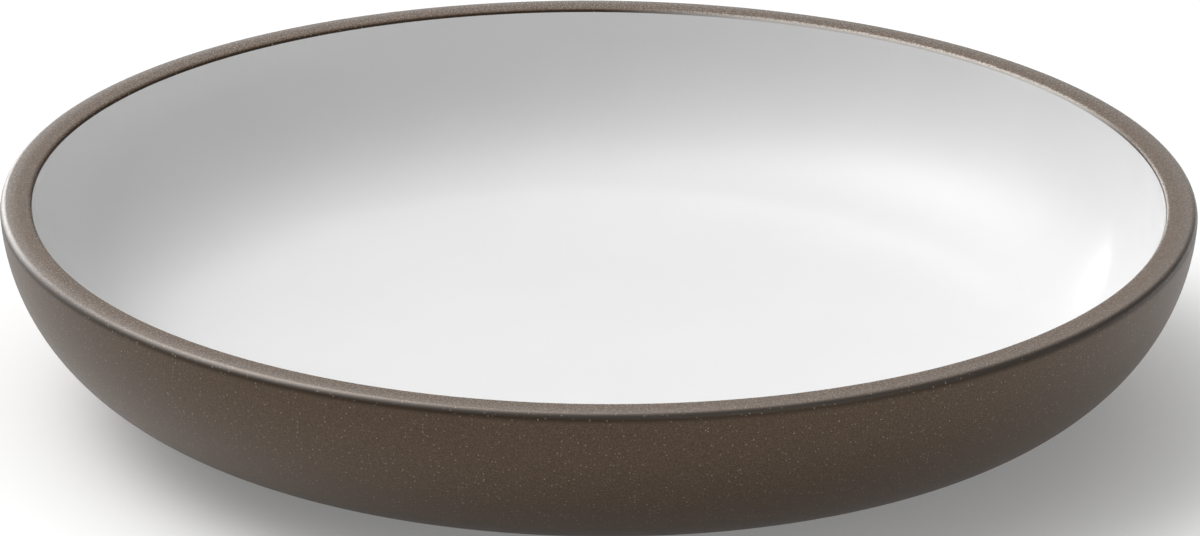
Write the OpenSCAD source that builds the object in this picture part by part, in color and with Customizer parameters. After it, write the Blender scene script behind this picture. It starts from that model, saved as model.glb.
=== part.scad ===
// Deep plate: a thick-walled stoneware plate with a bowl-shaped well, turned about the Z axis.
// It stands on the bare clay ring under its belly, with the table at Z = 0.
// The clay is one fired piece. Each glaze is a fired skin that lies on it face to face.

/* [Rim] */
// Diameter over the rim
rim_d = 240; // [200:5:280]
// Height from the table to the top of the rim
height = 41; // [36:1:50]
// Width of the flat-topped rim, which is the thickness of the wall there
rim_w = 6.4; // [5.5:0.1:8]
// Rounding of the rim's outer edge
rim_outer_r = 1.7; // [1:0.1:2.4]
// Rounding of the rim's inner edge
rim_inner_r = 1; // [0.9:0.1:2]

/* [Wall and well] */
// Height of the centre of the belly's curve above the rim: more makes the wall lean out more
belly_lift = 1.4; // [0:0.1:5]
// Thickness of the wall where its curve turns into the well
knee_t = 8; // [7:0.1:9]
// How much lower the middle of the well lies than the end of the wall's curve
well_sag = 1.9; // [0.5:0.1:2.5]
// Thickness of the floor at the middle of the well
floor_t = 5.5; // [5:0.1:6.5]

/* [Foot ring] */
// Height from the table to the lowest line of the belly
foot_h = 3; // [2.5:0.1:5]
// Distance from the lowest line of the belly in to the side of the ring
foot_setback = 7; // [3:0.5:20]
// Width of the ring
foot_w = 4.6; // [3.5:0.1:8]
// Rounding of the two edges that the ring stands on
foot_edge_r = 1; // [0.5:0.1:1.2]
// Fillets from the ring up into the belly and into the hollow under the well
foot_fillet_r = 1.2; // [0.5:0.1:1.2]

/* [Glaze] */
// Thickness of the fired glazes
glaze_t = 0.4; // [0.2:0.05:0.6]
// Depth below the rim where the brown glaze meets the white, on the rim's inner rounding
glaze_line_drop = 0.75; // [0.6:0.05:0.9]
// Height above the table where the glaze stops and bare clay begins
glaze_stop_h = 1.3; // [1.2:0.1:1.8]

/* [Hidden] */

// Facets of a full turn, of a profile's curves and of the well's very wide curve
turn_fn = 240;
curve_fn = 240;
dish_fn = 3600;
// Spare length past a face that a cut goes through
overrun = 2;
// How far one curve laps over the next where the two run into each other
lap = 0.002;

// The X at which a point of height z lies at distance d from the point p, on its inner side
function inward_x(p, z, d) = p.x - sqrt(pow(d, 2) - pow(z - p.y, 2));

// Wall outside: one arc from the lowest line of the belly up into the rim's outer rounding
rim_r = rim_d / 2;
rim_outer_c = [rim_r - rim_outer_r - lap, height - rim_outer_r];
belly_r = height + belly_lift - foot_h;
belly_z = height + belly_lift;
belly_c = [inward_x(rim_outer_c, belly_z, belly_r - rim_outer_r), belly_z];

// Wall inside: one arc centred at the height of the rim, up into the rim's inner rounding
rim_inner_c = [rim_r - rim_w + rim_inner_r, height - rim_inner_r];
bowl_r = height - foot_h - knee_t;
bowl_c = [inward_x(rim_inner_c, height, bowl_r + rim_inner_r), height];

// Floor of the well: a very wide arc centred on the axis, which runs into the wall's arc
dish_r = (pow(bowl_c.x, 2) + pow(bowl_r + well_sag, 2) - pow(bowl_r, 2)) / (2 * well_sag);
dish_c = [0, height - bowl_r - well_sag + dish_r];

// Foot ring and the hollow inside it
hollow_h = foot_h + knee_t - well_sag - floor_t;
foot_outer = belly_c.x - foot_setback;
foot_inner = foot_outer - foot_w;
foot_middle = foot_outer - foot_w / 2;

// Fills the corner at the origin, between +X and +Y, up to a round of radius r
module corner_fill(r) {
    difference() {
        square(r);
        translate([r, r])
            circle(r, $fn = curve_fn);
    }
}

// Half section of the space inside the bowl, grown by depth into the wall
module bowl_space(depth) {
    knee = bowl_c + (bowl_c - dish_c) * (bowl_r + depth) / (dish_r - bowl_r);
    // the wall's arc
    intersection() {
        translate(bowl_c)
            circle(bowl_r + depth, $fn = curve_fn);
        translate([bowl_c.x, 0])
            square([rim_r, height]);
    }
    // the floor's wide arc, as far out as the wall's arc begins
    intersection() {
        translate(dish_c)
            circle(dish_r + depth - lap, $fn = dish_fn);
        square([knee.x, height]);
    }
    // the mouth, beside the rim's inner rounding
    difference() {
        polygon([bowl_c, rim_inner_c, [rim_inner_c.x, height]]);
        translate(rim_inner_c)
            circle(rim_inner_r - depth + lap, $fn = curve_fn);
    }
}

// Half section of the hollow inside the foot ring, with the glaze cut back by depth
module foot_hollow(depth) {
    side = foot_inner - glaze_t + depth;
    ceiling = hollow_h + depth;
    difference() {
        translate([0, -overrun])
            square([side, ceiling + overrun]);
        translate([side, ceiling])
            rotate(180)
                corner_fill(foot_fillet_r + depth);
    }
}

// Half section of everything outside the bowl, with the glaze cut back by depth
module outer_form(depth) {
    underside = foot_h + depth;
    side = foot_outer + glaze_t - depth;
    belly_top = belly_c + (rim_outer_c - belly_c) * (belly_r - depth) / (belly_r - rim_outer_r);
    intersection() {
        union() {
            // the belly's arc, as far up as the rim's rounding begins
            intersection() {
                translate(belly_c)
                    circle(belly_r - depth, $fn = curve_fn);
                translate([belly_c.x, 0])
                    square([rim_r, belly_top.y]);
            }
            // the rim's outer rounding
            translate(rim_outer_c)
                circle(rim_outer_r - depth + lap, $fn = curve_fn);
            // all that lies inside those two
            polygon([
                [0, underside],
                [belly_c.x, underside],
                rim_outer_c,
                [rim_outer_c.x, height],
                [0, height]
            ]);
            // the foot ring, filled to the axis
            square([side, underside]);
            translate([side, underside])
                mirror([0, 1])
                    corner_fill(foot_fillet_r + depth);
        }
        square([rim_d, height - depth]);
    }
}

// Half section of the whole plate, with the glaze cut back by depth
module plate_section(depth) {
    difference() {
        outer_form(depth);
        bowl_space(depth);
        foot_hollow(depth);
    }
}

// Half section of all glazes together, which stop above the foot ring's bare clay
module glaze_section() {
    difference() {
        plate_section(0);
        plate_section(glaze_t);
        square([rim_r, glaze_stop_h]);
    }
}

// Part of the bowl's glaze space that the white lining fills, up to the glaze line
module lining_zone() {
    intersection() {
        bowl_space(glaze_t);
        square([rim_r, height - glaze_line_drop]);
    }
}

// Fired clay: wall, rim, floor and foot ring in one piece
module stoneware_body() {
    color([0.50, 0.44, 0.39])
        rotate_extrude($fn = turn_fn)
            difference() {
                plate_section(glaze_t);
                translate([foot_outer, 0])
                    mirror([1, 0])
                        corner_fill(foot_edge_r);
                translate([foot_inner, 0])
                    corner_fill(foot_edge_r);
            }
}

// Glossy white glaze over the inside, up to the rim's inner edge
module white_glaze_lining() {
    color([0.93, 0.93, 0.93])
        rotate_extrude($fn = turn_fn)
            intersection() {
                glaze_section();
                lining_zone();
            }
}

// Speckled brown glaze over the rim and the outside, down to the foot ring
module brown_glaze_coat() {
    color([0.34, 0.28, 0.24])
        rotate_extrude($fn = turn_fn)
            difference() {
                glaze_section();
                lining_zone();
                square([foot_middle, height]);
            }
}

// The same brown glaze over the hollow inside the foot ring
module underside_glaze() {
    color([0.34, 0.28, 0.24])
        rotate_extrude($fn = turn_fn)
            intersection() {
                glaze_section();
                square([foot_middle, hollow_h + glaze_t]);
            }
}

stoneware_body();
white_glaze_lining();
brown_glaze_coat();
underside_glaze();
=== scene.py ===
import math
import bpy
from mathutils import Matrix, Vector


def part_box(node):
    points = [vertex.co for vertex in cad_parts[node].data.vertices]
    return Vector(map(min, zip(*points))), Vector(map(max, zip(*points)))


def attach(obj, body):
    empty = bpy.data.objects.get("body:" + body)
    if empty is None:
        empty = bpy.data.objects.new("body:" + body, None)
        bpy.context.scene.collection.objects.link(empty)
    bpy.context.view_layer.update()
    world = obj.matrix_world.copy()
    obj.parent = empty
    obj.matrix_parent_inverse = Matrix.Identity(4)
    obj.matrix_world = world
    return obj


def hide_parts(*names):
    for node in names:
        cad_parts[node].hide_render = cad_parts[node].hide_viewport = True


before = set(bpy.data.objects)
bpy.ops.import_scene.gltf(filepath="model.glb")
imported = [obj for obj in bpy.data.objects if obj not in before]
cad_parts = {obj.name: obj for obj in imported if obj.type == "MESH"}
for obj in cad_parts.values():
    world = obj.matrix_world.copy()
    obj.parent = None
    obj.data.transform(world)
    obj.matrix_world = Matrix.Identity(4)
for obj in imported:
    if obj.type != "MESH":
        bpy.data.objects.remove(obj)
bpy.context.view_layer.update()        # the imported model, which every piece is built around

from types import SimpleNamespace

import bpy
from bpy.props import FloatProperty, FloatVectorProperty, IntProperty, PointerProperty
from mathutils import Matrix, Vector

bl_info = {
    "name": "Deep Plate",
    "version": (1, 0, 0),
    "blender": (4, 5, 0),
    "location": "3D View > Sidebar > Deep Plate",
    "description": "Turns a deep plate, white glazed inside and speckled brown outside",
    "category": "Object",
}

PLATE_BODY = "root"

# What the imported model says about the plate's own reach
COAT_LOW, COAT_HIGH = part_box("brown_glaze_coat")
LINING_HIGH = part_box("white_glaze_lining")[1]

# The picture's width in pixels, and the width of the camera's sensor in millimetres
PICTURE_WIDTH = 1200
SENSOR_WIDTH = 36.0

# The turning axis, and the axis square to the flat section that is turned about it
TURN_AXIS = (0.0, 0.0, 1.0)
SECTION_AXIS = (0.0, 1.0, 0.0)
ORIGIN = (0.0, 0.0, 0.0)
UPWARDS = (0.0, 0.0, 1.0)
DOWNWARDS = (0.0, 0.0, -1.0)

# Directions in the section, as angles from +X towards +Z
OUT, UP, IN, DOWN = 0.0, math.pi / 2, math.pi, -math.pi / 2

# Making the meshes: the first point's plane, the distance at which points merge, and the angle
# up to which two faces are shaded as one
DOT_SIZE = 0.001
MERGE_DISTANCE = 1e-6
SMOOTH_ANGLE = math.radians(35)

# How many faces each stretch of a section has, in the order in which it is drawn
CLAY_FACES = SimpleNamespace(well=24, wall=36, rim_inside=8, rim_flat=1, rim_outside=7, belly=40,
                             under_belly=2, fillet=6, foot_side=2, foot_edge=6, foot_face=3,
                             hollow=8)
WHITE_FACES = SimpleNamespace(well=40, wall=72, rim_inside=3)
BROWN_FACES = SimpleNamespace(rim_inside=10, rim_flat=2, rim_outside=11, belly=56, under_belly=3,
                              fillet=8, foot_side=1)
UNDERSIDE_FACES = SimpleNamespace(hollow=16, fillet=8, foot_side=1)

# Noise values between which most of a noise texture lies
MID_NOISE = (0.3, 0.7)

# Gloss of the fired glazes
GLAZE_IOR = 1.5
WHITE_SPECULAR = 0.2

# White glaze: faint clouds and waves. Scales are in cells to the metre, bump heights in metres.
CLOUD_SCALE = 35.0
CLOUD_SHADE = 0.985
WAVE_SCALE = 90.0
WAVE_DETAIL = 1.0
WAVE_STRENGTH = 0.05
WAVE_HEIGHT = 0.0002

# Brown glaze: the noise that counts as grain, the share of cells that hold a speck, and the
# grain's own change of roughness and height
BROWN_GRAIN = (0.36, 0.68)
SPECK_SHARE = 0.55
GRAIN_ROUGHNESS = 0.05
GRAIN_STRENGTH = 1.0
GRAIN_HEIGHT = 0.00006

# Bare clay: sandy and matt
CLAY_GRAIN_SIZE = 0.0004
CLAY_SHADE = 0.72
CLAY_STRENGTH = 0.6
CLAY_HEIGHT = 0.0001
CLAY_ROUGHNESS = 0.85

# Zones of the brown glaze, as depths below the rim's top over which they come or go (metres)
# The rim's top: painted paler there as painted light, and made glossier
RIM_ENDS = (0.0001, 0.0006)
# Painted shade: depths below the rim's top where a dark colour on the rim's roundings starts and
# ends
ROUNDING_SHADE_STARTS = (0.0001, 0.0005)
ROUNDING_SHADE_ENDS = (0.0014, 0.0024)
GLOSS_ENDS = (0.0008, 0.0014)

# The same zones across the rim: in from its outer edge, out from its inner edge, and down from
# the line where brown meets white (metres)
GLOSS_WIDTH = (0.0010, 0.0042)
THIN_WIDTH = (0.0002, 0.0008)
THIN_DEPTH = (0.0002, 0.0006)

# The thin pale edge, partly thin glaze and partly a painted highlight on the lit side: how far it
# wavers, how often, the side that it lies on and how far round
THIN_WAVER = 0.0002
WAVER_SCALE = 2500.0
HIGHLIGHT_SIDE = (0.588, 0.809, 0.0)
HIGHLIGHT_ARC = (0.80, 0.97)

# Soft lights: name, direction from +X towards +Y and height (degrees), tightness, strength
SOFT_LIGHTS = (
    ("Key", 158.0, 54.0, 14.0, 6.4),
    ("Side", 200.0, 45.0, 9.0, 0.2),
    ("Overhead", 50.0, 72.0, 9.0, 0.95),
    ("Back", 94.0, 20.0, 16.0, 0.50),
    ("Back left", 118.0, 6.0, 55.0, 7.5),
    ("Front", 303.0, 6.0, 9.0, 1.05),
    ("Below", 0.0, -90.0, 6.0, 2.4),
)
WHITE_LIGHT = (1.0, 1.0, 1.0, 1.0)

# Node trees: the distance between nodes, and the colour sockets of a Mix node
NODE_SPACING = 200
MIX_FACTOR, MIX_FIRST, MIX_SECOND, MIX_RESULT = 0, 6, 7, 2


# ---------------------------------------------------------------- settings

def length(name, description, default):
    """A length in metres that a user can change."""
    return FloatProperty(name=name, description=description, default=default,
                         unit="LENGTH", subtype="DISTANCE", precision=5)


def angle(name, description, degrees):
    """An angle that a user can change, whose default is given in degrees."""
    return FloatProperty(name=name, description=description, default=math.radians(degrees),
                         unit="ROTATION", subtype="ANGLE")


def pixels(name, description, default):
    """A distance in the picture that a user can change."""
    return FloatProperty(name=name, description=description, default=default, subtype="PIXEL")


def share(name, description, default):
    """A value from 0 to 1 that a user can change."""
    return FloatProperty(name=name, description=description, default=default,
                         min=0.0, max=1.0, subtype="FACTOR")


def colour(name, description, default):
    """A surface colour that a user can change."""
    return FloatVectorProperty(name=name, description=description, default=default,
                               subtype="COLOR", size=3, min=0.0, max=1.0)


class PlateSizes(bpy.types.PropertyGroup):
    """The plate's shape"""
    rim_diameter: length("Rim diameter", "Diameter over the rim", COAT_HIGH.x - COAT_LOW.x)
    height: length("Height", "Height from the table to the top of the rim", COAT_HIGH.z)
    rim_width: length("Rim width", "Width of the flat-topped rim", 0.0064)
    rim_outer_round: length("Rim outer rounding", "Rounding of the rim's outer edge", 0.0017)
    rim_roll: angle("Rim roll", "How early the rim's outer half rolls into its rounding", 16)
    rim_inner_round: length("Rim inner rounding", "Rounding of the rim's inner edge", 0.001)
    belly_lift: length("Belly lift", "Height of the belly curve's centre above the rim", 0.0014)
    knee_thickness: length("Knee thickness", "Thickness where the wall turns to the well", 0.008)
    well_sag: length("Well sag", "How much lower the well's middle lies than its edge", 0.0019)
    floor_thickness: length("Floor thickness", "Thickness of the floor at the middle", 0.0055)
    foot_height: length("Foot height", "Height from the table to the belly's lowest line", 0.003)
    foot_setback: length("Foot setback", "From the belly's lowest line in to the ring", 0.007)
    foot_width: length("Foot width", "Width of the foot ring", 0.0046)
    foot_edge_round: length("Foot edge rounding", "Rounding of the ring's lower edges", 0.001)
    foot_fillet: length("Foot fillet", "Fillets from the ring into belly and hollow", 0.0012)
    glaze_thickness: length("Glaze thickness", "Thickness of the fired glazes", 0.0004)
    glaze_line_drop: length("Glaze line", "Depth below the rim where brown meets white",
                            COAT_HIGH.z - LINING_HIGH.z)
    glaze_stop: length("Glaze stop", "Height above the table where bare clay begins", COAT_LOW.z)
    turn_steps: IntProperty(name="Turn steps", description="Faces in one full turn",
                            default=320, min=48)


class GlazeLooks(bpy.types.PropertyGroup):
    """The colours and the finish of the glazes and the clay"""
    white: colour("White glaze", "Colour of the glaze inside", (0.80, 0.80, 0.80))
    brown: colour("Brown glaze", "Ground colour of the glaze outside", (0.042, 0.027, 0.018))
    brown_grain: colour("Brown grain", "Colour of the fine light grain outside",
                        (0.100, 0.070, 0.048))
    # Painted light: the rim's top gets a paler brown and grain where light falls on it
    lit_rim_brown: colour("Rim brown, painted lit", "Ground colour over the rim, painted paler as light on its top",
                      (0.088, 0.062, 0.045))
    lit_rim_grain: colour("Rim grain, painted lit", "Colour of the fine light grain over the rim, painted paler as light on its top",
                      (0.205, 0.157, 0.121))
    # Painted shade: a dark colour on the rim's roundings, where shade falls
    painted_rounding_shade: colour("Painted rounding shade", "Colour of the shade painted on the rim's roundings",
                     (0.020, 0.012, 0.007))
    speck: colour("Specks", "Colour of the light specks in the brown glaze", (0.30, 0.25, 0.19))
    # Painted highlight: a pale thin-glaze edge beside the white, put on the lit side only
    thin_glaze_highlight: colour("Thin glaze highlight", "Colour of the pale thin edge beside the white, painted as a highlight on the lit side",
                       (0.54, 0.515, 0.495))
    brown_sheen: colour("Brown sheen", "Tint of the brown glaze's sheen seen face on",
                        (1.0, 0.76, 0.57))
    grain_size: length("Grain size", "Size of the fine grain in the brown glaze", 0.00030)
    speck_spacing: length("Speck spacing", "Distance from one light speck to the next", 0.00080)
    speck_radius: length("Speck radius", "Radius of a light speck", 0.00020)
    clay: colour("Clay", "Colour of the bare fired clay", (0.42, 0.33, 0.26))
    white_roughness: share("White roughness", "Roughness of the glaze inside", 0.12)
    brown_roughness: share("Brown roughness", "Roughness of the glaze outside", 0.42)
    edge_gloss: FloatProperty(name="Edge gloss", default=1.6, min=1.0, max=3.0,
                              description="Refractive index of the gloss on the rim's outer edge")
    edge_roughness: share("Edge roughness", "Roughness of the gloss on the rim's edge", 0.44)
    rim_roughness: share("Rim roughness", "Roughness of the glaze over the rim", 0.24)


class StudioSettings(bpy.types.PropertyGroup):
    """The camera, the floor and the room's even light"""
    view_elevation: angle("View elevation", "Angle that the camera looks down at", 20.31)
    view_roll: angle("View roll", "Lean of the camera", 0.4488)
    view_distance: length("View distance", "From the camera to the middle of the rim", 4.5)
    rim_right: pixels("Rim right", "How far right of the picture's centre the rim's middle lies",
                      -1.013)
    rim_up: pixels("Rim up", "How far above the picture's centre the rim's middle lies", 67.001)
    rim_pixels: pixels("Rim radius", "Radius of the rim in the picture", 598.864)
    floor_size: length("Floor size", "Side of the square floor", 12.0)
    floor_gap: length("Floor gap", "How far the floor lies under the foot ring, to stay apart",
                      0.00002)
    floor_colour: colour("Floor", "Colour of the floor", (0.80, 0.80, 0.80))
    floor_glow: FloatProperty(name="Floor glow", default=0.2, min=0.0,
                              description="Light that the floor adds where it is seen, "
                                          "so that it looks white")
    room_light: FloatProperty(name="Room light", description="Even light from all around",
                              default=0.12, min=0.0)


# ---------------------------------------------------------------- the plate's section

def plate_section(sizes, depth=0.0):
    """The arcs and levels of the half section, at a depth under the finished surface."""
    rim = sizes.rim_diameter / 2
    height = sizes.height

    # Outside: the rim's outer rounding runs on into the belly's arc
    outer_centre = (rim - sizes.rim_outer_round, height - sizes.rim_outer_round)
    belly_z = height + sizes.belly_lift
    belly_radius = belly_z - sizes.foot_height
    reach = math.sqrt((belly_radius - sizes.rim_outer_round) ** 2
                      - (outer_centre[1] - belly_z) ** 2)
    belly_centre = (outer_centre[0] - reach, belly_z)

    # Inside: the rim's inner rounding runs on into the bowl's arc, and that into the flat dish
    inner_centre = (rim - sizes.rim_width + sizes.rim_inner_round,
                    height - sizes.rim_inner_round)
    bowl_radius = height - sizes.foot_height - sizes.knee_thickness
    reach = math.sqrt((bowl_radius + sizes.rim_inner_round) ** 2
                      - (inner_centre[1] - height) ** 2)
    bowl_centre = (inner_centre[0] - reach, height)
    sag = sizes.well_sag
    dish_radius = (bowl_centre[0] ** 2 + (bowl_radius + sag) ** 2 - bowl_radius ** 2) / (2 * sag)
    dish_centre = (0.0, height - bowl_radius - sag + dish_radius)

    # Below: the foot ring, and the hollow inside it
    foot_outer = belly_centre[0] - sizes.foot_setback
    foot_inner = foot_outer - sizes.foot_width
    glaze = sizes.glaze_thickness
    fillet = sizes.foot_fillet
    hollow = sizes.foot_height + sizes.knee_thickness - sag - sizes.floor_thickness

    return SimpleNamespace(
        top=height - depth,
        outer_centre=outer_centre, outer_round=sizes.rim_outer_round - depth,
        belly_centre=belly_centre,
        belly_end=math.atan2(outer_centre[1] - belly_z, outer_centre[0] - belly_centre[0]),
        inner_centre=inner_centre, inner_round=sizes.rim_inner_round - depth,
        glaze_angle=IN - math.asin((sizes.rim_inner_round - sizes.glaze_line_drop)
                                   / sizes.rim_inner_round),
        bowl_centre=bowl_centre,
        bowl_end=math.atan2(inner_centre[1] - height, inner_centre[0] - bowl_centre[0]),
        dish_centre=dish_centre,
        dish_end=math.atan2(bowl_centre[0], dish_centre[1] - bowl_centre[1]),
        dish_floor=dish_centre[1] - (dish_radius + depth),
        underside=sizes.foot_height + depth,
        ceiling=hollow + depth,
        foot_outer=foot_outer, foot_inner=foot_inner,
        glazed_outer=foot_outer + glaze - depth,
        glazed_inner=foot_inner - glaze + depth,
        fillet_out=(foot_outer + glaze + fillet, sizes.foot_height - fillet),
        fillet_in=(foot_inner - glaze - fillet, hollow - fillet),
    )


def on_arc(centre, radius, turn):
    """The point of an arc at an angle from +X towards +Z."""
    return (centre[0] + radius * math.cos(turn), centre[1] + radius * math.sin(turn))


# ---------------------------------------------------------------- drawing by hand

def clear_selection():
    """Leaves edit mode with nothing selected."""
    if bpy.context.object is not None and bpy.context.object.mode != "OBJECT":
        bpy.ops.object.mode_set(mode="OBJECT")
    bpy.ops.object.select_all(action="DESELECT")


class Profile:
    """A half section that is drawn in edit mode point by point, as with a pen."""

    def __init__(self, name, start):
        """Starts with a small plane that is merged into one point."""
        clear_selection()
        bpy.ops.mesh.primitive_plane_add(size=DOT_SIZE, location=ORIGIN)
        self.object = bpy.context.object
        self.object.name = self.object.data.name = name
        bpy.ops.object.mode_set(mode="EDIT")
        bpy.ops.mesh.select_mode(type="VERT")
        bpy.ops.mesh.select_all(action="SELECT")
        bpy.ops.mesh.merge(type="CENTER")
        bpy.ops.transform.translate(value=(start[0], 0.0, start[1]))
        self.pen = start

    def line(self, end, faces=1):
        """Extrudes the last point along a straight line."""
        step = ((end[0] - self.pen[0]) / faces, 0.0, (end[1] - self.pen[1]) / faces)
        for _ in range(faces):
            bpy.ops.mesh.extrude_region_move(TRANSFORM_OT_translate={"value": step})
        self.pen = end

    def arc(self, centre, start, end, faces):
        """Spins the last point about an arc's centre."""
        bpy.ops.mesh.spin(steps=faces, angle=end - start, center=(centre[0], 0.0, centre[1]),
                          axis=SECTION_AXIS)
        radius = math.hypot(self.pen[0] - centre[0], self.pen[1] - centre[1])
        self.pen = on_arc(centre, radius, end)

    def turn(self, steps):
        """Spins the section about the plate's axis into a closed shell, and leaves edit mode."""
        bpy.ops.mesh.select_all(action="SELECT")
        bpy.ops.mesh.spin(steps=steps, angle=math.tau, center=ORIGIN, axis=TURN_AXIS)
        bpy.ops.mesh.select_all(action="SELECT")
        bpy.ops.mesh.remove_doubles(threshold=MERGE_DISTANCE)
        bpy.ops.mesh.select_all(action="SELECT")
        bpy.ops.mesh.normals_make_consistent(inside=False)
        bpy.ops.object.mode_set(mode="OBJECT")
        return self.object


def draw_rim(pen, section, sizes, faces):
    """Draws the rim: flat on its inner half, then rolling over into its outer rounding."""
    middle = (section.inner_centre[0] + section.outer_centre[0]) / 2
    roll_over = UP - sizes.rim_roll
    pen.line((middle, section.top), faces.rim_flat)
    pen.line(on_arc(section.outer_centre, section.outer_round, roll_over))
    pen.arc(section.outer_centre, roll_over, section.belly_end, faces.rim_outside)


def face_outwards(piece, point, direction):
    """Turns an open shell's faces round where the one nearest to a point faces the wrong way."""
    nearest = min(piece.data.polygons, key=lambda face: (face.center - Vector(point)).length)
    if nearest.normal.dot(Vector(direction)) < 0:
        bpy.ops.object.mode_set(mode="EDIT")
        bpy.ops.mesh.select_all(action="SELECT")
        bpy.ops.mesh.flip_normals()
        bpy.ops.object.mode_set(mode="OBJECT")


def add_thickness(piece, thickness):
    """Gives a glaze its thickness, inwards from the finished surface."""
    solidify = piece.modifiers.new("Glaze thickness", "SOLIDIFY")
    solidify.thickness = thickness
    solidify.offset = -1.0
    solidify.use_even_offset = True
    bpy.ops.object.modifier_apply(modifier=solidify.name)


def finish_piece(piece, node, material):
    """Smooths a piece, gives it its material and puts it in the place of its CAD node."""
    bpy.ops.object.shade_smooth_by_angle(angle=SMOOTH_ANGLE)
    piece.data.materials.clear()
    piece.data.materials.append(material)
    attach(piece, PLATE_BODY)
    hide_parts(node)
    clear_selection()


def turn_glaze(pen, sizes, point, direction):
    """Turns a glaze's skin about the axis, faces it outwards and gives it its thickness."""
    piece = pen.turn(sizes.turn_steps)
    face_outwards(piece, point, direction)
    add_thickness(piece, sizes.glaze_thickness)
    return piece


# ---------------------------------------------------------------- materials

class Nodes:
    """A small helper that places nodes in a tree and joins them."""

    def __init__(self, tree):
        """Starts at the left end of the tree."""
        self.tree = tree
        self.column = 0

    def fill(self, node, inputs):
        """Joins a node's inputs to other nodes, or gives them plain values."""
        for key, value in inputs.items():
            if isinstance(value, bpy.types.NodeSocket):
                self.tree.links.new(value, node.inputs[key])
            else:
                node.inputs[key].default_value = value

    def add(self, kind, inputs=None, **settings):
        """Adds a node, sets its properties and fills its inputs."""
        node = self.tree.nodes.new(kind)
        node.location = (self.column * NODE_SPACING, 0)
        self.column += 1
        for key, value in settings.items():
            setattr(node, key, value)
        self.fill(node, inputs or {})
        return node

    def math(self, operation, a, b=0.0, clamp=False):
        """A Math node's result."""
        return self.add("ShaderNodeMath", {0: a, 1: b},
                        operation=operation, use_clamp=clamp).outputs[0]

    def vector(self, operation, *values):
        """A Vector Math node's outputs."""
        return self.add("ShaderNodeVectorMath", dict(enumerate(values)),
                        operation=operation).outputs

    def ramp(self, value, low, high, to_low=0.0, to_high=1.0):
        """A smooth step from low to high."""
        return self.add("ShaderNodeMapRange",
                        {"Value": value, "From Min": low, "From Max": high,
                         "To Min": to_low, "To Max": to_high},
                        interpolation_type="SMOOTHSTEP").outputs["Result"]

    def fade(self, value, low, high):
        """A smooth step down from 1 to 0."""
        return self.ramp(value, low, high, 1.0, 0.0)

    def mix(self, factor, a, b):
        """A blend of two colours."""
        return self.add("ShaderNodeMix", {MIX_FACTOR: factor, MIX_FIRST: a, MIX_SECOND: b},
                        data_type="RGBA").outputs[MIX_RESULT]

    def noise(self, place, scale, detail=2.0, roughness=0.5):
        """A noise texture's value, at a scale in cells to the metre."""
        return self.add("ShaderNodeTexNoise", {"Vector": place, "Scale": scale, "Detail": detail,
                                               "Roughness": roughness}).outputs["Fac"]

    def bump(self, height, strength, distance):
        """The normal of a surface with a fine relief."""
        return self.add("ShaderNodeBump", {"Height": height, "Strength": strength,
                                           "Distance": distance}).outputs["Normal"]

    def group(self, tree, inputs):
        """The outputs of a node group."""
        return self.add("ShaderNodeGroup", inputs, node_tree=tree).outputs


def start_nodes(owner):
    """Empties the node tree of a material or world and returns a helper for it."""
    owner.use_nodes = True
    owner.node_tree.nodes.clear()
    return Nodes(owner.node_tree)


def new_group(name, inputs, outputs):
    """An empty shader node group with named sockets: each is (name, kind, default)."""
    tree = bpy.data.node_groups.new(name, "ShaderNodeTree")
    for in_out, sockets in (("INPUT", inputs), ("OUTPUT", outputs)):
        for label, kind, default in sockets:
            socket = tree.interface.new_socket(name=label, in_out=in_out,
                                               socket_type="NodeSocket" + kind)
            if default is not None:
                socket.default_value = default
    nodes = Nodes(tree)
    return nodes, nodes.add("NodeGroupInput").outputs


def close_group(nodes, results):
    """Joins a group's results to its output and returns the group."""
    nodes.fill(nodes.add("NodeGroupOutput"), results)
    return nodes.tree


def grain_group():
    """Fine grain: a mask of small soft spots whose size is given in metres."""
    name = "Fine grain"
    if name in bpy.data.node_groups:
        return bpy.data.node_groups[name]
    nodes, start = new_group(
        name,
        [("Vector", "Vector", None), ("Grain Size", "Float", 0.0003),
         ("Low", "Float", 0.45), ("High", "Float", 0.75)],
        [("Mask", "Float", None), ("Height", "Float", None)])
    scale = nodes.math("DIVIDE", 1.0, start["Grain Size"])
    noise = nodes.noise(start["Vector"], scale, roughness=0.6)
    mask = nodes.ramp(noise, start["Low"], start["High"])
    return close_group(nodes, {"Mask": mask, "Height": noise})


def speck_group():
    """Sparse round specks of mixed brightness, whose spacing and size are given in metres."""
    name = "Sparse specks"
    if name in bpy.data.node_groups:
        return bpy.data.node_groups[name]
    nodes, start = new_group(
        name,
        [("Vector", "Vector", None), ("Spacing", "Float", 0.001), ("Radius", "Float", 0.00015),
         ("Share", "Float", 0.6)],
        [("Mask", "Float", None)])
    core = 0.45        # share of a speck's radius that is not yet fading
    faintest = 0.25    # strength of the faintest speck
    scale = nodes.math("DIVIDE", 1.0, start["Spacing"])
    cells = nodes.add("ShaderNodeTexVoronoi", {"Vector": start["Vector"], "Scale": scale}).outputs
    radius = nodes.math("DIVIDE", start["Radius"], start["Spacing"])
    spot = nodes.fade(cells["Distance"], nodes.math("MULTIPLY", radius, core), radius)
    chance = nodes.add("ShaderNodeSeparateColor", {"Color": cells["Color"]}).outputs
    chosen = nodes.math("LESS_THAN", chance["Red"], start["Share"])
    strength = nodes.ramp(chance["Green"], 0.0, 1.0, faintest, 1.0)
    mask = nodes.math("MULTIPLY", nodes.math("MULTIPLY", spot, chosen), strength)
    return close_group(nodes, {"Mask": mask})


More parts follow.
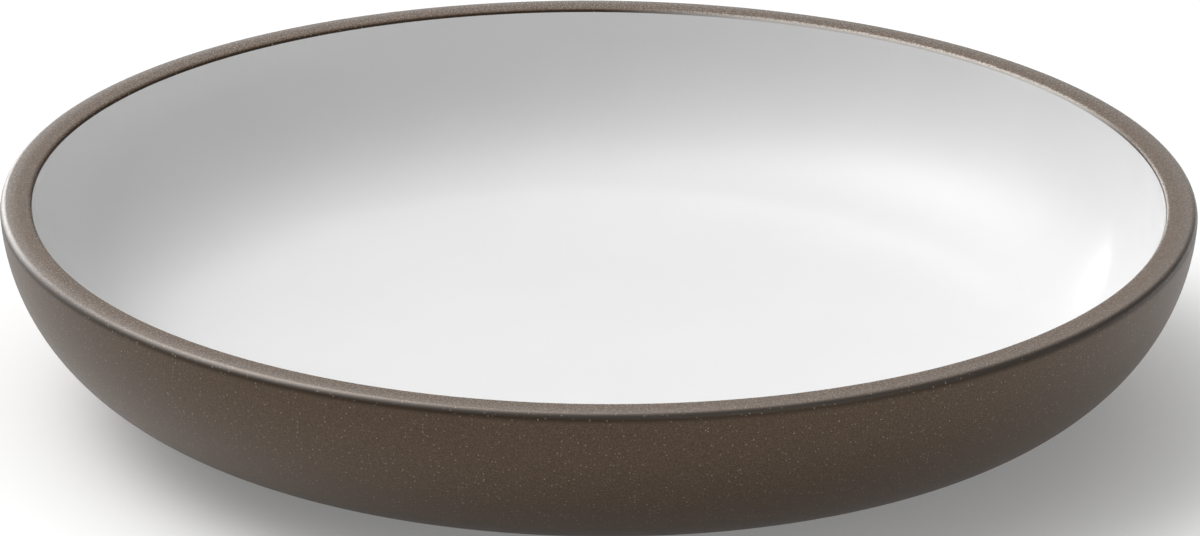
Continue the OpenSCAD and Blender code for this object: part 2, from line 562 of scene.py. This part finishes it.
def rim_group():
    """Where the rim is, where shade is painted on its roundings, where its glaze shines, and
    where a pale thin-glaze edge beside the white is painted as a highlight on the lit side.
    """
    name = "Rim zones"
    if name in bpy.data.node_groups:
        return bpy.data.node_groups[name]
    nodes, start = new_group(
        name,
        [("Vector", "Vector", None), ("Rim Top", "Float", 0.04), ("Rim Radius", "Float", 0.12),
         ("Rim Width", "Float", 0.006), ("Glaze Line", "Float", 0.0008)],
        [("Rim", "Float", None), ("Rounding Shade", "Float", None), ("Outer Edge", "Float", None),
         ("Thin Edge Highlight", "Float", None)])

    # Depth below the rim's top, and distances from the axis and from the rim's two edges
    flat = nodes.vector("MULTIPLY", start["Vector"], (1.0, 1.0, 0.0))["Vector"]
    radius = nodes.vector("LENGTH", flat)["Value"]
    height = nodes.add("ShaderNodeSeparateXYZ", {0: start["Vector"]}).outputs["Z"]
    below = nodes.math("SUBTRACT", start["Rim Top"], height)
    in_from_edge = nodes.math("SUBTRACT", start["Rim Radius"], radius)
    inner_edge = nodes.math("SUBTRACT", start["Rim Radius"], start["Rim Width"])
    out_from_white = nodes.math("SUBTRACT", radius, inner_edge)

    # The rim's top, painted paler as painted light and given its own roughness
    rim = nodes.fade(below, *RIM_ENDS)
    # Painted shade on the rim's roundings, at both edges of the rim
    roundings = nodes.math("MULTIPLY", nodes.ramp(below, *ROUNDING_SHADE_STARTS),
                           nodes.fade(below, *ROUNDING_SHADE_ENDS))
    outer = nodes.math("MULTIPLY", nodes.fade(below, *GLOSS_ENDS),
                       nodes.fade(in_from_edge, *GLOSS_WIDTH))

    # The thin edge, partly thin glaze and partly a painted highlight: near the white glaze, not
    # far down, and on the lit side of the plate only
    waver = nodes.ramp(nodes.noise(start["Vector"], WAVER_SCALE), *MID_NOISE,
                       -THIN_WAVER, THIN_WAVER)
    near = nodes.fade(nodes.math("ADD", out_from_white, waver), *THIN_WIDTH)
    near = nodes.math("MULTIPLY", near,
                      nodes.fade(nodes.math("SUBTRACT", below, start["Glaze Line"]), *THIN_DEPTH))
    unit = nodes.vector("NORMALIZE", flat)["Vector"]
    around = nodes.ramp(nodes.vector("DOT_PRODUCT", unit, HIGHLIGHT_SIDE)["Value"], *HIGHLIGHT_ARC)
    thin = nodes.math("MULTIPLY", near, around)
    return close_group(nodes, {"Rim": rim, "Rounding Shade": roundings, "Outer Edge": outer,
                               "Thin Edge Highlight": thin})


def new_material(name):
    """A new material, its node helper, its Principled BSDF and the plate's own coordinates."""
    material = bpy.data.materials.new(name)
    nodes = start_nodes(material)
    place = nodes.add("ShaderNodeTexCoord").outputs["Object"]
    shader = nodes.add("ShaderNodeBsdfPrincipled")
    nodes.add("ShaderNodeOutputMaterial", {"Surface": shader.outputs["BSDF"]})
    return material, nodes, shader, place


def rgba(values):
    """A colour with full alpha."""
    return (*values, 1.0)


def shaded(values, share_left):
    """A darker shade of a colour, with full alpha."""
    return rgba([value * share_left for value in values])


def white_glaze(looks):
    """Glossy white glaze, very smooth, with the faintest waves."""
    material, nodes, shader, place = new_material("White gloss glaze")
    cloud = nodes.ramp(nodes.noise(place, CLOUD_SCALE), *MID_NOISE)
    waves = nodes.noise(place, WAVE_SCALE, WAVE_DETAIL)
    nodes.fill(shader, {
        "Base Color": nodes.mix(cloud, rgba(looks.white), shaded(looks.white, CLOUD_SHADE)),
        "Roughness": looks.white_roughness,
        "IOR": GLAZE_IOR,
        "Specular IOR Level": WHITE_SPECULAR,
        "Normal": nodes.bump(waves, WAVE_STRENGTH, WAVE_HEIGHT),
    })
    return material


def brown_glaze(looks, sizes, name="Speckled brown glaze"):
    """Satin brown glaze with a fine grain and light specks. Its rim top is painted paler as
    painted light, its roundings carry painted shade, and a pale edge beside the white is painted
    as a highlight on the lit side.
    """
    material, nodes, shader, place = new_material(name)
    grain = nodes.group(grain_group(), {"Vector": place, "Grain Size": looks.grain_size,
                                        "Low": BROWN_GRAIN[0], "High": BROWN_GRAIN[1]})
    specks = nodes.group(speck_group(), {"Vector": place, "Spacing": looks.speck_spacing,
                                         "Radius": looks.speck_radius, "Share": SPECK_SHARE})
    rim = nodes.group(rim_group(), {"Vector": place, "Rim Top": sizes.height,
                                    "Rim Radius": sizes.rim_diameter / 2,
                                    "Rim Width": sizes.rim_width,
                                    "Glaze Line": sizes.glaze_line_drop})
    # Painted light: a paler brown and grain on the rim's top, where light falls on it
    dark = nodes.mix(rim["Rim"], rgba(looks.brown), rgba(looks.lit_rim_brown))
    light = nodes.mix(rim["Rim"], rgba(looks.brown_grain), rgba(looks.lit_rim_grain))
    tint = nodes.mix(grain["Mask"], dark, light)
    # Painted shade: the rim's roundings are darkened as if in shade
    tint = nodes.mix(rim["Rounding Shade"], tint, rgba(looks.painted_rounding_shade))
    tint = nodes.mix(specks["Mask"], tint, rgba(looks.speck))
    # Painted highlight: a pale thin-glaze edge beside the white, on the lit rear-right side only
    tint = nodes.mix(rim["Thin Edge Highlight"], tint, rgba(looks.thin_glaze_highlight))
    uneven = nodes.ramp(grain["Height"], *MID_NOISE, -GRAIN_ROUGHNESS, GRAIN_ROUGHNESS)
    rough = nodes.ramp(rim["Rim"], 0.0, 1.0, looks.brown_roughness, looks.rim_roughness)
    nodes.fill(shader, {
        "Base Color": tint,
        "Roughness": nodes.math("ADD", uneven, rough),
        "IOR": GLAZE_IOR,
        "Specular Tint": rgba(looks.brown_sheen),
        "Coat Weight": rim["Outer Edge"],
        "Coat IOR": looks.edge_gloss,
        "Coat Roughness": looks.edge_roughness,
        "Normal": nodes.bump(grain["Height"], GRAIN_STRENGTH, GRAIN_HEIGHT),
    })
    return material


def bare_clay(looks):
    """Bare fired clay, matt and sandy."""
    material, nodes, shader, place = new_material("Bare clay")
    grain = nodes.group(grain_group(), {"Vector": place, "Grain Size": CLAY_GRAIN_SIZE})
    nodes.fill(shader, {
        "Base Color": nodes.mix(grain["Mask"], shaded(looks.clay, CLAY_SHADE), rgba(looks.clay)),
        "Roughness": CLAY_ROUGHNESS,
        "Normal": nodes.bump(grain["Height"], CLAY_STRENGTH, CLAY_HEIGHT),
    })
    return material


# ---------------------------------------------------------------- the pieces

class DEEP_PLATE_OT_clay_body(bpy.types.Operator):
    """Turn the fired clay body: wall, rim, floor and foot ring in one piece"""
    bl_idname = "deep_plate.clay_body"
    bl_label = "Clay Body"

    def execute(self, context):
        sizes = context.scene.plate_sizes
        cut = plate_section(sizes, sizes.glaze_thickness)
        faces = CLAY_FACES
        foot_round = sizes.foot_edge_round
        dish_edge = DOWN + cut.dish_end
        pen = Profile("clay_body", (0.0, cut.dish_floor))
        pen.arc(cut.dish_centre, DOWN, dish_edge, faces.well)
        pen.arc(cut.bowl_centre, dish_edge, cut.bowl_end, faces.wall)
        pen.arc(cut.inner_centre, IN + cut.bowl_end, UP, faces.rim_inside)
        draw_rim(pen, cut, sizes, faces)
        pen.arc(cut.belly_centre, cut.belly_end, DOWN, faces.belly)
        pen.line((cut.fillet_out[0], cut.underside), faces.under_belly)
        pen.arc(cut.fillet_out, UP, IN, faces.fillet)
        pen.line((cut.foot_outer, foot_round), faces.foot_side)
        pen.arc((cut.foot_outer - foot_round, foot_round), OUT, DOWN, faces.foot_edge)
        pen.line((cut.foot_inner + foot_round, 0.0), faces.foot_face)
        pen.arc((cut.foot_inner + foot_round, foot_round), DOWN, IN - math.tau, faces.foot_edge)
        pen.line((cut.foot_inner, cut.fillet_in[1]), faces.foot_side)
        pen.arc(cut.fillet_in, OUT, UP, faces.fillet)
        pen.line((0.0, cut.ceiling), faces.hollow)
        piece = pen.turn(sizes.turn_steps)
        finish_piece(piece, "stoneware_body", bare_clay(context.scene.plate_looks))
        return {"FINISHED"}


class DEEP_PLATE_OT_white_lining(bpy.types.Operator):
    """Turn the glossy white glaze over the inside"""
    bl_idname = "deep_plate.white_lining"
    bl_label = "White Lining"

    def execute(self, context):
        sizes = context.scene.plate_sizes
        skin = plate_section(sizes)
        faces = WHITE_FACES
        dish_edge = DOWN + skin.dish_end
        pen = Profile("white_glaze_inside", (0.0, skin.dish_floor))
        pen.arc(skin.dish_centre, DOWN, dish_edge, faces.well)
        pen.arc(skin.bowl_centre, dish_edge, skin.bowl_end, faces.wall)
        pen.arc(skin.inner_centre, IN + skin.bowl_end, skin.glaze_angle, faces.rim_inside)
        piece = turn_glaze(pen, sizes, (0.0, 0.0, skin.dish_floor), UPWARDS)
        finish_piece(piece, "white_glaze_lining",
                     white_glaze(context.scene.plate_looks))
        return {"FINISHED"}


class DEEP_PLATE_OT_brown_coat(bpy.types.Operator):
    """Turn the speckled brown glaze over the rim and the outside"""
    bl_idname = "deep_plate.brown_coat"
    bl_label = "Brown Coat"

    def execute(self, context):
        sizes = context.scene.plate_sizes
        skin = plate_section(sizes)
        faces = BROWN_FACES
        pen = Profile("brown_glaze_outside",
                      on_arc(skin.inner_centre, skin.inner_round, skin.glaze_angle))
        pen.arc(skin.inner_centre, skin.glaze_angle, UP, faces.rim_inside)
        draw_rim(pen, skin, sizes, faces)
        pen.arc(skin.belly_centre, skin.belly_end, DOWN, faces.belly)
        pen.line((skin.fillet_out[0], skin.underside), faces.under_belly)
        pen.arc(skin.fillet_out, UP, IN, faces.fillet)
        pen.line((skin.glazed_outer, sizes.glaze_stop), faces.foot_side)
        piece = turn_glaze(pen, sizes, (skin.outer_centre[0], 0.0, skin.top), UPWARDS)
        finish_piece(piece, "brown_glaze_coat",
                     brown_glaze(context.scene.plate_looks, sizes))
        return {"FINISHED"}


class DEEP_PLATE_OT_underside_glaze(bpy.types.Operator):
    """Turn the brown glaze in the hollow inside the foot ring"""
    bl_idname = "deep_plate.underside_glaze"
    bl_label = "Underside Glaze"

    def execute(self, context):
        sizes = context.scene.plate_sizes
        skin = plate_section(sizes)
        faces = UNDERSIDE_FACES
        pen = Profile("brown_glaze_underside", (0.0, skin.ceiling))
        pen.line((skin.fillet_in[0], skin.ceiling), faces.hollow)
        pen.arc(skin.fillet_in, UP, OUT, faces.fillet)
        pen.line((skin.glazed_inner, sizes.glaze_stop), faces.foot_side)
        piece = turn_glaze(pen, sizes, (0.0, 0.0, skin.ceiling), DOWNWARDS)
        finish_piece(piece, "underside_glaze",
                     brown_glaze(context.scene.plate_looks, sizes, "Underside brown glaze"))
        return {"FINISHED"}


# ---------------------------------------------------------------- the studio

def turned(amount, axis):
    """A turn about one axis, as a matrix that can be joined with a move."""
    return Matrix.Rotation(amount, 4, axis)


def add_camera(context, studio, sizes):
    """A long-lens camera that sees the plate as the photograph does."""
    focal_pixels = studio.rim_pixels / (sizes.rim_diameter / 2) * studio.view_distance
    rise = studio.view_elevation
    target = Vector((0.0, 0.0, sizes.height))
    back = Vector((0.0, -math.cos(rise), math.sin(rise)))
    data = bpy.data.cameras.new("Camera")
    data.lens = focal_pixels / PICTURE_WIDTH * SENSOR_WIDTH
    data.sensor_width = SENSOR_WIDTH
    camera = bpy.data.objects.new("Camera", data)
    context.scene.collection.objects.link(camera)
    camera.matrix_world = (
        Matrix.Translation(target + back * studio.view_distance)
        @ turned(math.pi / 2 - rise, "X")
        @ turned(studio.view_roll, "Z")
        @ turned(-studio.rim_up / focal_pixels, "X")
        @ turned(studio.rim_right / focal_pixels, "Y")
    )
    context.scene.camera = camera


def soft_room(studio):
    """A plain room whose soft lights are broad glows without an edge, like large softboxes."""
    world = bpy.data.worlds.new("Soft room")
    nodes = start_nodes(world)
    place = nodes.add("ShaderNodeTexCoord").outputs["Generated"]
    total = studio.room_light
    for name, turn, rise, tightness, strength in SOFT_LIGHTS:
        turn, rise = math.radians(turn), math.radians(rise)
        towards = (math.cos(rise) * math.cos(turn), math.cos(rise) * math.sin(turn),
                   math.sin(rise))
        nearness = nodes.add("ShaderNodeVectorMath", {0: place, 1: towards},
                             operation="DOT_PRODUCT", label=name)
        away = nodes.math("SUBTRACT", nearness.outputs["Value"], 1.0)
        glow = nodes.math("EXPONENT", nodes.math("MULTIPLY", away, tightness))
        total = nodes.math("ADD", nodes.math("MULTIPLY", glow, strength), total)
    light = nodes.add("ShaderNodeBackground", {"Color": WHITE_LIGHT, "Strength": total})
    nodes.add("ShaderNodeOutputWorld", {"Surface": light.outputs[0]})
    return world


def floor_material(studio):
    """A plain pale floor, white away from the plate's shadow and clear when seen from below."""
    material = bpy.data.materials.new("Pale floor")
    nodes = start_nodes(material)
    matt = nodes.add("ShaderNodeBsdfDiffuse", {"Color": rgba(studio.floor_colour)})
    path = nodes.add("ShaderNodeLightPath").outputs
    seen = nodes.math("MAXIMUM", path["Is Camera Ray"], path["Is Glossy Ray"])
    seen = nodes.math("MAXIMUM", seen, path["Is Transmission Ray"])
    glow = nodes.add("ShaderNodeEmission",
                     {"Color": WHITE_LIGHT,
                      "Strength": nodes.math("MULTIPLY", seen, studio.floor_glow)})
    both = nodes.add("ShaderNodeAddShader", {0: matt.outputs[0], 1: glow.outputs[0]})
    clear = nodes.add("ShaderNodeBsdfTransparent")
    back = nodes.add("ShaderNodeNewGeometry").outputs["Backfacing"]
    from_below = nodes.math("ADD", back, path["Transparent Depth"], clamp=True)
    one_way = nodes.add("ShaderNodeMixShader",
                        {0: from_below, 1: both.outputs[0], 2: clear.outputs[0]})
    nodes.add("ShaderNodeOutputMaterial", {"Surface": one_way.outputs[0]})
    return material


class DEEP_PLATE_OT_studio(bpy.types.Operator):
    """Add the floor, the soft lights and the camera"""
    bl_idname = "deep_plate.studio"
    bl_label = "Studio"

    def execute(self, context):
        studio = context.scene.plate_studio
        clear_selection()
        bpy.ops.mesh.primitive_plane_add(size=studio.floor_size,
                                         location=(0.0, 0.0, -studio.floor_gap))
        floor = context.object
        floor.name = "floor"
        floor.data.materials.append(floor_material(studio))
        clear_selection()
        add_camera(context, studio, context.scene.plate_sizes)
        context.scene.world = soft_room(studio)
        context.scene.view_settings.view_transform = "Standard"
        return {"FINISHED"}


class DEEP_PLATE_PT_panel(bpy.types.Panel):
    """The pieces to turn, and every size, colour and light that can be changed"""
    bl_idname = "DEEP_PLATE_PT_panel"
    bl_label = "Deep Plate"
    bl_space_type = "VIEW_3D"
    bl_region_type = "UI"
    bl_category = "Deep Plate"

    def draw(self, context):
        scene = context.scene
        for operator in BUILD_ORDER:
            self.layout.operator(operator.bl_idname)
        for label, settings in (("Sizes", scene.plate_sizes), ("Glazes", scene.plate_looks),
                                ("Studio", scene.plate_studio)):
            box = self.layout.box()
            box.label(text=label)
            for key in settings.bl_rna.properties.keys():
                if key not in {"rna_type", "name"}:
                    box.prop(settings, key)


BUILD_ORDER = (
    DEEP_PLATE_OT_clay_body,
    DEEP_PLATE_OT_white_lining,
    DEEP_PLATE_OT_brown_coat,
    DEEP_PLATE_OT_underside_glaze,
    DEEP_PLATE_OT_studio,
)
SETTINGS = (("plate_sizes", PlateSizes), ("plate_looks", GlazeLooks),
            ("plate_studio", StudioSettings))


def register():
    """Makes the settings, the operators and the panel known to Blender."""
    for key, settings in SETTINGS:
        bpy.utils.register_class(settings)
        setattr(bpy.types.Scene, key, PointerProperty(type=settings))
    for part in (*BUILD_ORDER, DEEP_PLATE_PT_panel):
        bpy.utils.register_class(part)


def unregister():
    """Takes them all out again."""
    for part in reversed((*BUILD_ORDER, DEEP_PLATE_PT_panel)):
        bpy.utils.unregister_class(part)
    for key, settings in reversed(SETTINGS):
        delattr(bpy.types.Scene, key)
        bpy.utils.unregister_class(settings)


def main():
    """Builds the plate and the studio."""
    register()
    bpy.ops.deep_plate.clay_body()
    bpy.ops.deep_plate.white_lining()
    bpy.ops.deep_plate.brown_coat()
    bpy.ops.deep_plate.underside_glaze()
    bpy.ops.deep_plate.studio()


if __name__ == "__main__":
    main()
